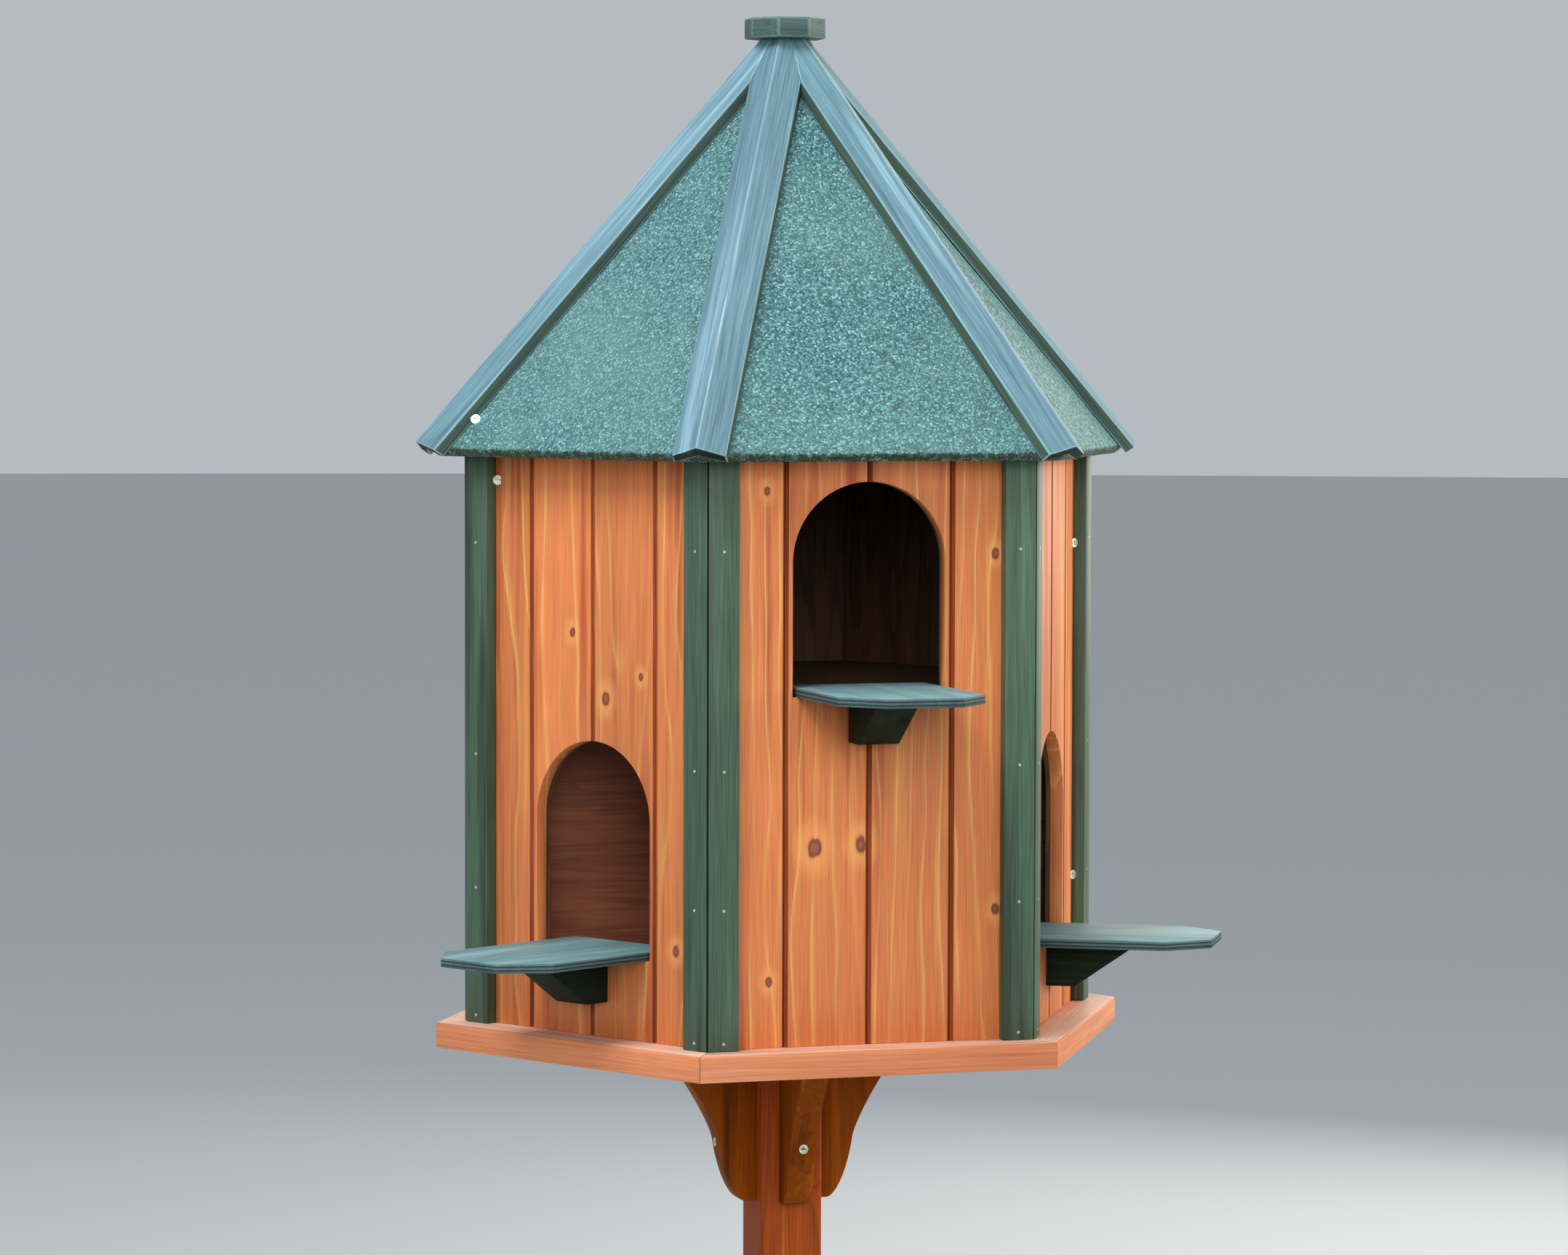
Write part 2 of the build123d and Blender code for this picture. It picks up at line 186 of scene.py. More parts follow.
def mark_grain(piece, along, seed, pith_depth=0.06):
    """Stores where each point lies in the tree: grain.z runs along the fibres."""
    draw = random.Random(seed)
    shift = Vector((draw.uniform(-0.03, 0.03), pith_depth + draw.uniform(0, 0.03), draw.uniform(0, 2)))
    turn = Vector(along).rotation_difference(Vector((0, 0, 1)))
    grain = piece.data.attributes.new("grain", "FLOAT_VECTOR", "POINT")
    for entry, vertex in zip(grain.data, piece.data.vertices):
        entry.vector = turn @ vertex.co + shift
    board_tone = draw.random()
    tone = piece.data.attributes.new("tone", "FLOAT", "POINT")
    for entry in tone.data:
        entry.value = board_tone


def plain_copy(piece, name, degrees):
    """A copy with its own mesh, turned about the post's axis."""
    copy = piece.copy()
    copy.data = piece.data.copy()
    copy.name = copy.data.name = name
    bpy.context.scene.collection.objects.link(copy)
    copy.data.transform(Matrix.Rotation(math.radians(degrees), 4, "Z"))
    return copy


def turned_copy(piece, name, degrees, seed):
    """A turned copy, cut from another part of the timber."""
    copy = plain_copy(piece, name, degrees)
    draw = random.Random(seed)
    shift = Vector((draw.uniform(-0.02, 0.02), draw.uniform(0, 0.03), draw.uniform(0, 2)))
    tone_step = draw.random()
    for entry in copy.data.attributes["grain"].data:
        entry.vector = Vector(entry.vector) + shift
    for entry in copy.data.attributes["tone"].data:
        entry.value = (entry.value + tone_step) % 1.0
    return copy


def fix(piece, finish, slot, *nodes):
    """Lets a piece stand for its CAD nodes, with this finish, or its own if this is None."""
    if finish is not None:
        piece.data.materials.clear()
        piece.data.materials.append(finish)
    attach(piece, "root")
    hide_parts(*nodes)


def stain(red, green, blue):
    """A colour as a paint chart gives it, 0 to 255, for a shader."""
    return tuple(((c / 255 + 0.055) / 1.055) ** 2.4 if c > 10 else c / 255 / 12.92
                 for c in (red, green, blue)) + (1.0,)


def feed(tree, socket, value):
    """Links a socket to another node's output, or sets it to a plain value."""
    if isinstance(value, bpy.types.NodeSocket):
        tree.links.new(value, socket)
    else:
        socket.default_value = value


def maths(tree, operation, *values):
    node = tree.nodes.new("ShaderNodeMath")
    node.operation = operation
    for socket, value in zip(node.inputs, values):
        feed(tree, socket, value)
    return node.outputs[0]


def ramp(tree, value, *stops):
    """A colour ramp through (place, colour) stops; a plain number is a grey."""
    node = tree.nodes.new("ShaderNodeValToRGB")
    elements = node.color_ramp.elements
    while len(elements) < len(stops):
        elements.new(0.5)
    for element, (place, colour) in zip(elements, stops):
        element.position = place
        element.color = colour if isinstance(colour, tuple) else (colour, colour, colour, 1)
    feed(tree, node.inputs["Fac"], value)
    return node.outputs["Color"]


def blend(tree, factor, first, second, mode="MIX"):
    node = tree.nodes.new("ShaderNodeMix")
    node.data_type = "RGBA"
    node.blend_type = mode
    feed(tree, node.inputs["Factor"], factor)
    feed(tree, node.inputs[6], first)
    feed(tree, node.inputs[7], second)
    return node.outputs[2]


def vector_maths(tree, operation, place, by=(0, 0, 0)):
    node = tree.nodes.new("ShaderNodeVectorMath")
    node.operation = operation
    tree.links.new(place, node.inputs[0])
    node.inputs[1].default_value = by
    return node.outputs["Value" if operation == "LENGTH" else "Vector"]


def cloud(tree, place, scale, detail=2.0, roughness=0.5):
    """Noise with its own scale along each axis: a small one gives long streaks."""
    noise = tree.nodes.new("ShaderNodeTexNoise")
    noise.inputs["Scale"].default_value = 1
    noise.inputs["Detail"].default_value = detail
    noise.inputs["Roughness"].default_value = roughness
    tree.links.new(vector_maths(tree, "MULTIPLY", place, scale), noise.inputs["Vector"])
    return noise.outputs["Fac"]


def stored(tree, name):
    """The outputs of a node that reads a mesh attribute."""
    node = tree.nodes.new("ShaderNodeAttribute")
    node.attribute_name = name
    return node.outputs


def emboss(tree, shader, height, strength, depth):
    """Raises a surface's fine detail where height is larger."""
    bump = tree.nodes.new("ShaderNodeBump")
    bump.inputs["Strength"].default_value = strength
    bump.inputs["Distance"].default_value = depth
    tree.links.new(height, bump.inputs["Height"])
    tree.links.new(bump.outputs["Normal"], shader.inputs["Normal"])


def make_timber_figure():
    """Growth rings that fade in and out, streaks, fine fibres and knots of a softwood board."""
    tree = bpy.data.node_groups.new("timber_figure", "ShaderNodeTree")
    tree.interface.new_socket("Place", in_out="INPUT", socket_type="NodeSocketVector")
    for name in ("Ring Width", "Slant", "Wander", "Knots"):
        tree.interface.new_socket(name, in_out="INPUT", socket_type="NodeSocketFloat")
    for name in ("Rings", "Patches", "Streaks", "Fibres", "Knot", "Halo"):
        tree.interface.new_socket(name, in_out="OUTPUT", socket_type="NodeSocketFloat")
    inlet = tree.nodes.new("NodeGroupInput").outputs
    outlet = tree.nodes.new("NodeGroupOutput").inputs
    place = inlet["Place"]
    split = tree.nodes.new("ShaderNodeSeparateXYZ")
    tree.links.new(place, split.inputs[0])
    x, y, z = split.outputs

    # one knot in some of the 120 mm cells of the board's face, a little longer than wide
    cell, squash = 0.12, 0.72
    smallest, size_range = 0.0025, 0.0045
    halo_fall, ring_pull = -0.22, 2.2
    flat = tree.nodes.new("ShaderNodeCombineXYZ")
    tree.links.new(x, flat.inputs["X"])
    tree.links.new(maths(tree, "MULTIPLY", z, squash), flat.inputs["Y"])
    cells = tree.nodes.new("ShaderNodeTexVoronoi")
    cells.voronoi_dimensions = "2D"
    cells.inputs["Scale"].default_value = 1 / cell
    tree.links.new(flat.outputs[0], cells.inputs["Vector"])
    chance = tree.nodes.new("ShaderNodeSeparateColor")
    tree.links.new(cells.outputs["Color"], chance.inputs[0])
    present = maths(tree, "LESS_THAN", chance.outputs["Red"], inlet["Knots"])
    radius = maths(tree, "MULTIPLY_ADD", chance.outputs["Green"], size_range, smallest)
    ripple = maths(tree, "MULTIPLY_ADD", cloud(tree, place, (160, 160, 160), 1), 0.003, -0.0015)
    away = maths(tree, "MULTIPLY_ADD", cells.outputs["Distance"], cell, ripple)
    share = maths(tree, "DIVIDE", away, radius)
    core = maths(tree, "MULTIPLY", ramp(tree, share, (0.82, 1.0), (1.0, 0.0)), present)
    falling = maths(tree, "MULTIPLY", maths(tree, "MULTIPLY", share, share), halo_fall)
    halo = maths(tree, "MULTIPLY", maths(tree, "POWER", math.e, falling), present)
    pull = maths(tree, "MULTIPLY", halo, maths(tree, "MULTIPLY", radius, ring_pull))

    # growth rings round a pith that runs out slowly along the board and bend round its knots
    sway = maths(tree, "SUBTRACT", cloud(tree, place, (14, 14, 3.2), 2), 0.5)
    heave = maths(tree, "SUBTRACT", cloud(tree, place, (9, 9, 2.1), 1), 0.5)
    side = maths(tree, "MULTIPLY_ADD", sway, inlet["Wander"], x)
    sloping = maths(tree, "MULTIPLY_ADD", z, inlet["Slant"], y)
    depth = maths(tree, "MULTIPLY_ADD", heave, inlet["Wander"], sloping)
    depth_squared = maths(tree, "MULTIPLY", depth, depth)
    from_pith = maths(tree, "SQRT", maths(tree, "MULTIPLY_ADD", side, side, depth_squared))
    season = maths(tree, "FRACT", maths(tree, "DIVIDE", maths(tree, "ADD", from_pith, pull),
                                        inlet["Ring Width"]))
    late_wood = ramp(tree, season, (0.0, 0.0), (0.5, 0.1), (0.86, 1.0), (1.0, 0.0))
    patches = maths(tree, "MULTIPLY_ADD", cloud(tree, place, (30, 30, 5), 1), 4, -1.4)
    tree.links.new(late_wood, outlet["Rings"])
    tree.links.new(maths(tree, "MINIMUM", maths(tree, "MAXIMUM", patches, 0.15), 1.0), outlet["Patches"])
    tree.links.new(cloud(tree, place, (46, 46, 1.6), 3, 0.6), outlet["Streaks"])
    tree.links.new(cloud(tree, place, (650, 650, 16), 2, 0.6), outlet["Fibres"])
    tree.links.new(core, outlet["Knot"])
    tree.links.new(halo, outlet["Halo"])
    return tree


timber_figure = make_timber_figure()


def figured(tree, ring_width, slant, wander, knots):
    """The outputs of the timber figure, laid where the piece's grain attribute says."""
    figure = tree.nodes.new("ShaderNodeGroup")
    figure.node_tree = timber_figure
    tree.links.new(stored(tree, "grain")["Vector"], figure.inputs["Place"])
    for socket, value in (("Ring Width", ring_width), ("Slant", slant), ("Wander", wander),
                          ("Knots", knots)):
        figure.inputs[socket].default_value = value
    return figure.outputs


def stained_timber(name, pale, body, deep, knot=None, knots=0.0, ring_width=0.0042, slant=0.035,
                   wander=0.02, ring_strength=0.5, ring_tone=None, ring_sharpness=1.0,
                   fibre_strength=0.35, roughness=0.55, shine=0.4, tone_range=0.16):
    """Softwood under a thin stain: pale, body and deep are its lightest, usual and darkest tones."""
    finish, tree, shader = new_finish(name)
    figure = figured(tree, ring_width, slant, wander, knots)
    colour = ramp(tree, figure["Streaks"], (0.30, deep), (0.46, body), (0.58, body), (0.74, pale))
    late = maths(tree, "MULTIPLY", maths(tree, "POWER", figure["Rings"], ring_sharpness),
                 maths(tree, "MULTIPLY", figure["Patches"], ring_strength))
    colour = blend(tree, late, colour, ring_tone or deep)
    fibres = ramp(tree, figure["Fibres"], (0.3, 1 - fibre_strength), (0.7, 1 + fibre_strength * 0.3))
    colour = blend(tree, 1.0, colour, fibres, "MULTIPLY")
    colour = blend(tree, maths(tree, "MULTIPLY", figure["Halo"], 0.45), colour, deep)
    colour = blend(tree, figure["Knot"], colour, knot or deep)
    board_tone = ramp(tree, stored(tree, "tone")["Fac"], (0.0, 1 - tone_range),
                      (1.0, 1 + tone_range * 0.5))
    colour = blend(tree, 1.0, colour, board_tone, "MULTIPLY")
    tree.links.new(colour, shader.inputs["Base Color"])
    gloss = maths(tree, "MULTIPLY_ADD", figure["Fibres"], 0.25, roughness - 0.12)
    tree.links.new(gloss, shader.inputs["Roughness"])
    height = maths(tree, "MULTIPLY_ADD", figure["Fibres"], 0.6, maths(tree, "MULTIPLY", late, 0.7))
    emboss(tree, shader, height, strength=0.5, depth=0.0006)
    shader.inputs["Specular IOR Level"].default_value = shine
    return finish


post_stain = stained_timber("post_stain", pale=stain(202, 106, 30), body=stain(170, 76, 16),
                            deep=stain(112, 44, 8), knot=stain(56, 24, 8), knots=0.3, shine=0.15)
post_low, post_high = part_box("ground_post")
post = fresh_block("post", post_low, post_high)
round_edges(post, is_upright, width=0.002, segments=3)
soften(post, width=0.0008)
mark_grain(post, (0, 0, 1), seed=11, pith_depth=0.035)
fix(post, post_stain, "post_wood", "ground_post")


# ---------------------------------------------------------------------------------------------
# Post brackets: four 25 mm thick shaped pieces, band-sawn to a hollow curve over a round toe.
# Each is held flat to a side of the post by a cross-head screw, and carries the tray.
# ---------------------------------------------------------------------------------------------
BRACKET_THICK = 0.025
BRACKET_ARRIS = 0.0012
tray_low, tray_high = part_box("tray_rim_1")
TRAY_TOP = tray_high.z


def shaped_bracket(name):
    """The bracket on the front of the post, cut from its outline."""
    low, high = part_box("post_bracket_front")
    back, tip, foot, top = high.y, low.y, low.z, high.z
    corner, smooth = "VECTOR", "FREE"
    # each point's place as Y and Z, its kind, and the places of its two handles
    outline = [((back, top), corner, None, None),
               ((tip, top), corner, None, None),
               ((tip, top - 0.008), smooth, (tip, top - 0.005), (tip + 0.013, top - 0.022)),
               ((-0.0638, top - 0.097), smooth, (-0.0664, top - 0.078), (-0.0612, top - 0.116)),
               ((-0.040, foot), smooth, (-0.052, foot + 0.004), (-0.037, foot)),
               ((back, foot), corner, None, None)]
    curve = bpy.data.curves.new(name, "CURVE")
    curve.dimensions = "2D"
    curve.fill_mode = "BOTH"
    curve.extrude = BRACKET_THICK / 2 - BRACKET_ARRIS
    curve.bevel_depth = BRACKET_ARRIS
    curve.bevel_resolution = 1
    curve.offset = -BRACKET_ARRIS
    curve.resolution_u = 16
    spline = curve.splines.new("BEZIER")
    spline.bezier_points.add(len(outline) - 1)
    spline.use_cyclic_u = True
    for point, (place, kind, before, after) in zip(spline.bezier_points, outline):
        point.handle_left_type = point.handle_right_type = kind
        point.co = (*place, 0)
        if before:
            point.handle_left = (*before, 0)
            point.handle_right = (*after, 0)
    bracket = bpy.data.objects.new(name, curve)
    bpy.context.scene.collection.objects.link(bracket)
    select_only(bracket)
    bpy.ops.object.convert(target="MESH")
    bracket = bpy.context.active_object
    # the outline was drawn flat, with out along X and up along Y: stand it up along the Y axis
    upright = Matrix(((0, 0, 1, 0), (1, 0, 0, 0), (0, 1, 0, 0), (0, 0, 0, 1)))
    bracket.data.transform(upright)
    bpy.ops.object.mode_set(mode="EDIT")
    bpy.ops.mesh.select_all(action="SELECT")
    bpy.ops.mesh.remove_doubles(threshold=0.00002)
    bpy.ops.mesh.normals_make_consistent(inside=False)
    bpy.ops.object.mode_set(mode="OBJECT")
    bpy.ops.object.shade_smooth_by_angle(angle=math.radians(35))
    return bracket


bracket_stain = stained_timber("bracket_stain", pale=stain(176, 92, 16), body=stain(140, 68, 6),
                               deep=stain(90, 42, 4), knot=stain(54, 26, 4), knots=0.35, shine=0.05,
                               ring_strength=0.2, fibre_strength=0.25)
front_bracket = shaped_bracket("bracket_front")
mark_grain(front_bracket, (0, 0, 1), seed=21, pith_depth=0.05)
for quarter, side_name in enumerate(("front", "right", "back", "left")):
    bracket = turned_copy(front_bracket, f"shaped_bracket_{side_name}", 90 * quarter, seed=30 + quarter)
    fix(bracket, bracket_stain, "post_wood", f"post_bracket_{side_name}")
bpy.data.objects.remove(front_bracket)


# ---------------------------------------------------------------------------------------------
# Tray: a base board inside six rim boards, 60 by 23 mm, mitred at the corners. The rim is a
# pinkish orange with its upper outside edge rounded over. Its top faces are painted paler:
# painted skylight, with some sun bleaching.
# ---------------------------------------------------------------------------------------------
FACES = range(6)
FACE_TURN = 60
HALF_TURN = math.radians(FACE_TURN / 2)
MITRE_OPEN = 0.0002


def mitre_normal(end):
    """Square to the upright plane through a corner of face 0, towards its neighbour."""
    return Vector((end * math.cos(HALF_TURN), math.sin(HALF_TURN), 0))


def mitre_ends(piece, gap=MITRE_OPEN):
    """Saws both ends of a face 0 piece on the planes through the hexagon's corners."""
    for end in (-1, 1):
        saw_off(piece, -mitre_normal(end) * gap, mitre_normal(end))


rim = fresh_block("rim", tray_low, tray_high)
mitre_ends(rim)
round_edges(rim, lambda a, b: all(abs(end.y - tray_low.y) < NEAR and abs(end.z - TRAY_TOP) < NEAR
                                  for end in (a, b)), width=0.0025, segments=4)
soften(rim, width=0.0006)
mark_grain(rim, (1, 0, 0), seed=41)
rim.data.materials.append(stained_timber(
    "rim_stain", pale=stain(238, 164, 116), body=stain(216, 132, 86), deep=stain(178, 92, 54),
    knot=stain(120, 60, 36), knots=0.1, ring_strength=0.25, fibre_strength=0.2, tone_range=0.1))
# the second finish: the rim's top faces painted paler, as painted skylight with some sun bleaching
rim.data.materials.append(stained_timber(
    "rim_top_painted_skylight_and_bleach", pale=stain(252, 216, 196), body=stain(244, 194, 168), deep=stain(212, 146, 116),
    knot=stain(140, 76, 50), knots=0.1, ring_strength=0.25, fibre_strength=0.2, tone_range=0.1))
# faces that look straight up take the paler finish of painted skylight
for side in rim.data.polygons:
    side.material_index = int(side.normal.z > 0.9)
for face in FACES:
    rim_board = turned_copy(rim, f"rim_board_{face + 1}", FACE_TURN * face, seed=50 + face)
    fix(rim_board, None, "tray_wood", f"tray_rim_{face + 1}")
bpy.data.objects.remove(rim)


def plywood(name, pale, deep, turn=(0, 0, 0)):
    """Rotary-cut veneer: wide wavy figure, for sheet pieces that keep their CAD shape."""
    finish, tree, shader = new_finish(name)
    where = tree.nodes.new("ShaderNodeTexCoord")
    lay = tree.nodes.new("ShaderNodeMapping")
    lay.inputs["Rotation"].default_value = turn
    tree.links.new(where.outputs["Object"], lay.inputs["Vector"])
    waves = cloud(tree, lay.outputs[0], (22, 22, 3), 3, 0.55)
    veneer = maths(tree, "FRACT", maths(tree, "MULTIPLY", waves, 7))
    colour = ramp(tree, veneer, (0.0, deep), (0.6, pale), (0.92, pale), (1.0, deep))
    fibres = ramp(tree, cloud(tree, lay.outputs[0], (500, 500, 14), 2), (0.3, 0.72), (0.7, 1.0))
    tree.links.new(blend(tree, 1.0, colour, fibres, "MULTIPLY"), shader.inputs["Base Color"])
    emboss(tree, shader, fibres, strength=0.4, depth=0.0005)
    shader.inputs["Roughness"].default_value = 0.72
    return finish


def finish_node(node, finish):
    """Gives a CAD node that keeps its shape its own finish."""
    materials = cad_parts[node].data.materials
    materials.clear()
    materials.append(finish)


LEVEL_GRAIN = (0, math.radians(90), 0)
finish_node("tray_base", plywood("tray_ply", pale=stain(206, 122, 78), deep=stain(160, 86, 52),
                                 turn=LEVEL_GRAIN))


# ---------------------------------------------------------------------------------------------
# Inside: a ply floor between the storeys, and below it a panel from corner to corner with a
# divider in front. A thin ply lining inside the boards, stained dark, holds the floor up.
# ---------------------------------------------------------------------------------------------
lining_ply = plywood("lining_ply", pale=stain(104, 72, 44), deep=stain(76, 52, 32))
finish_node("wall_linings", lining_ply)
finish_node("loft_floor", lining_ply)
panel_ply = plywood("panel_ply", pale=stain(146, 80, 50), deep=stain(128, 66, 42), turn=LEVEL_GRAIN)
finish_node("lower_back_panel", panel_ply)
finish_node("lower_divider", panel_ply)


# ---------------------------------------------------------------------------------------------
# Walls: four upright matched boards a face, 76 mm to view, planed with V-joints and stained
# orange. The three front faces have an arched doorway, high in the middle one and low beside it.
# ---------------------------------------------------------------------------------------------
BOARD_PITCH = 0.076
BOARDS = 4
V_JOINT = 0.0021
BOARD_GAP = 0.0006
DOOR_WIDE = 0.139
UPPER_SILL, UPPER_CROWN = 0.304, 0.490
LOWER_SILL, LOWER_CROWN = 0.071, 0.260
wall_low, wall_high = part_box("wall_1")
WALL_FACE, WALL_INNER = wall_low.y, wall_high.y
SPARE_END = 0.02


def cut_away(piece, cutter):
    """Takes the cutter's shape out of the piece."""
    cut = piece.modifiers.new("cut", "BOOLEAN")
    cut.operation = "DIFFERENCE"
    cut.solver = "EXACT"
    cut.object = cutter
    apply_last(piece)


def doorway_cutters(sill, crown):
    """A round head and a square body, long enough to pass through the wall."""
    past_face, past_inner, head_depth = 0.05, 0.02, 0.2
    radius = DOOR_WIDE / 2
    spring = crown - radius
    body = fresh_block("door_body", (-radius, WALL_FACE - past_face, TRAY_TOP + sill),
                       (radius, WALL_INNER + past_inner, TRAY_TOP + spring))
    bpy.ops.mesh.primitive_cylinder_add(vertices=96, radius=radius, depth=head_depth,
                                        location=(0, WALL_FACE, TRAY_TOP + spring),
                                        rotation=(math.radians(90), 0, 0))
    return [body, bpy.context.active_object]


def wall_board(index):
    """One board of face 0, counted from the left, with half a V-joint on each matched edge."""
    outer_left, outer_right = index == 0, index == BOARDS - 1
    left = wall_low.x - SPARE_END if outer_left else (index - 2) * BOARD_PITCH + BOARD_GAP
    right = wall_high.x + SPARE_END if outer_right else (index - 1) * BOARD_PITCH - BOARD_GAP
    board = fresh_block("board", (left, WALL_FACE, wall_low.z), (right, WALL_INNER, wall_high.z))
    board.data.materials.append(board_stain)
    # the second finish goes on the V-joint faces: pooled stain and painted shade
    board.data.materials.append(groove_stain_and_painted_shade)
    joints = ([] if outer_left else [left]) + ([] if outer_right else [right])
    round_edges(board, lambda a, b: is_upright(a, b) and a.y < WALL_FACE + NEAR
                and min(abs(a.x - joint) for joint in joints) < NEAR,
                width=V_JOINT, segments=1, finish_slot=1)
    if outer_left:
        saw_off(board, (0, 0, 0), mitre_normal(-1))
    if outer_right:
        saw_off(board, (0, 0, 0), mitre_normal(1))
    return board


def join_pieces(pieces):
    """Joins several pieces into the first of them."""
    bpy.ops.object.select_all(action="DESELECT")
    for piece in pieces:
        piece.select_set(True)
    bpy.context.view_layer.objects.active = pieces[0]
    bpy.ops.object.join()
    return pieces[0]


def boarded_wall(name, doorway, seed):
    """Four boards of face 0, with a doorway through the middle two if there is one."""
    cutters = doorway_cutters(*doorway) if doorway else []
    boards = [wall_board(index) for index in range(BOARDS)]
    for index, board in enumerate(boards):
        if 0 < index < BOARDS - 1:
            for cutter in cutters:
                cut_away(board, cutter)
        soften(board, width=0.0006)
        mark_grain(board, (0, 0, 1), seed=seed + index)
    for cutter in cutters:
        bpy.data.objects.remove(cutter)
    wall = join_pieces(boards)
    wall.name = name
    return wall


def mark_knots(finish, knots, ring_tone, heart_tone, halo_tone):
    """Adds knots of given place and radius: a pale halo, a dark ring and a reddish heart."""
    tree = finish.node_tree
    base_colour = tree.nodes["Principled BSDF"].inputs["Base Color"]
    where = tree.nodes.new("ShaderNodeTexCoord").outputs["Object"]
    squash, halo_reach = 0.72, 4
    nearest = 1.0
    for place, radius in knots:
        step = vector_maths(tree, "SUBTRACT", where, place)
        away = vector_maths(tree, "LENGTH", vector_maths(tree, "MULTIPLY", step, (1, 1, squash)))
        nearest = maths(tree, "MINIMUM", maths(tree, "DIVIDE", away, radius * halo_reach), nearest)
    ripple = maths(tree, "MULTIPLY_ADD", cloud(tree, where, (120, 120, 60), 2), 0.3, -0.15)
    reach = maths(tree, "ADD", nearest, ripple)
    colour = blend(tree, ramp(tree, reach, (0.25, 0.0), (0.38, 0.34), (0.5, 0.3), (0.95, 0.0)),
                   base_colour.links[0].from_socket, halo_tone)
    colour = blend(tree, ramp(tree, reach, (0.22, 0.9), (0.29, 0.0)), colour, ring_tone)
    colour = blend(tree, ramp(tree, reach, (0.08, 0.75), (0.17, 0.0)), colour, heart_tone)
    tree.links.new(colour, base_colour)


board_stain = stained_timber("board_stain", pale=stain(240, 162, 94), body=stain(219, 127, 71),
                             deep=stain(180, 82, 42), knot=stain(100, 40, 20), knots=0.1,
                             ring_width=0.015, ring_strength=0.62, ring_tone=stain(250, 196, 112),
                             ring_sharpness=3.5, slant=0.034, wander=0.05, fibre_strength=0.2,
                             roughness=0.5)
# each knot's place and radius
FRONT_KNOTS = [((-0.0500, WALL_FACE, 1.2459), 0.0058), ((-0.0069, WALL_FACE, 1.2478), 0.0050),
               ((0.1170, WALL_FACE, 1.1874), 0.0032), ((0.1160, WALL_FACE, 1.4996), 0.0032),
               ((-0.0907, WALL_FACE, 1.1307), 0.0030), ((-0.0931, WALL_FACE, 1.5555), 0.0028)]
LEFT_KNOTS = [((-0.2065, -0.1379, 1.3714), 0.0042), ((-0.1853, -0.1747, 1.3919), 0.0026),
              ((-0.1640, -0.2116, 1.1556), 0.0034), ((-0.2272, -0.1020, 1.4272), 0.0030)]
mark_knots(board_stain, FRONT_KNOTS + LEFT_KNOTS, ring_tone=stain(104, 58, 44),
           heart_tone=stain(160, 84, 58), halo_tone=stain(246, 178, 98))
# the V-joint faces: stain pooled in the grooves, darkened further with painted shade in the groove
groove_stain_and_painted_shade = stained_timber("groove_stain_and_painted_shade", pale=stain(186, 98, 52), body=stain(154, 70, 36),
                              deep=stain(112, 48, 26), shine=0.1)
HIGH_DOORWAY = (UPPER_SILL, UPPER_CROWN)
LOW_DOORWAY = (LOWER_SILL, LOWER_CROWN)
DOORWAY_FACES = {0: HIGH_DOORWAY, 1: LOW_DOORWAY, 5: LOW_DOORWAY}
patterns = {HIGH_DOORWAY: boarded_wall("high_door_wall", HIGH_DOORWAY, seed=60),
            LOW_DOORWAY: boarded_wall("low_door_wall", LOW_DOORWAY, seed=70),
            None: boarded_wall("plain_wall", None, seed=75)}
for face in FACES:
    pattern = patterns[DOORWAY_FACES.get(face)]
    wall = turned_copy(pattern, f"boarded_wall_{face + 1}", FACE_TURN * face, seed=80 + face)
    fix(wall, None, "wall_wood", f"wall_{face + 1}")
for pattern in patterns.values():
    bpy.data.objects.remove(pattern)


# ---------------------------------------------------------------------------------------------
# Corner strips: a pair of 29 by 12 mm green-stained strips over each corner, mitred together
# and nailed through the boards with small bright pins.
# ---------------------------------------------------------------------------------------------
STRIP_WIDE = 0.029
STRIP_OPEN = 0.0007
STRIP_SPARE = 0.002
STRIP_CORNER_R = 0.300
STRIP_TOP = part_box("corner_strips_2")[1].z
STRIP_FACE = -STRIP_CORNER_R * math.cos(HALF_TURN)


def corner_strip(end):
    """The strip at the left (-1) or right (1) end of face 0."""
    inner, outer = end * (STRIP_CORNER_R / 2 - STRIP_WIDE), end * (STRIP_CORNER_R / 2 + STRIP_SPARE)
    strip = fresh_block("strip", (min(inner, outer), STRIP_FACE, TRAY_TOP),
                        (max(inner, outer), WALL_FACE, STRIP_TOP))
    saw_off(strip, -mitre_normal(end) * STRIP_OPEN, mitre_normal(end))
    soften(strip, width=0.0012)
    mark_grain(strip, (0, 0, 1), seed=90 + end)
    return strip


strip_stain = stained_timber("strip_stain", pale=stain(98, 128, 100), body=stain(72, 98, 78),
                             deep=stain(44, 62, 46), knot=stain(30, 40, 28), knots=0.08,
                             ring_width=0.0028, ring_strength=0.3, roughness=0.5)
right_strip, left_strip = corner_strip(1), corner_strip(-1)
for corner in FACES:
    pair = join_pieces([
        turned_copy(right_strip, f"corner_pair_{corner + 1}", FACE_TURN * corner, seed=100 + corner),
        turned_copy(left_strip, "left_half", FACE_TURN * (corner + 1), seed=110 + corner)])
    fix(pair, strip_stain, "strip_wood", f"corner_strips_{corner + 1}")
for strip in (right_strip, left_strip):
    bpy.data.objects.remove(strip)


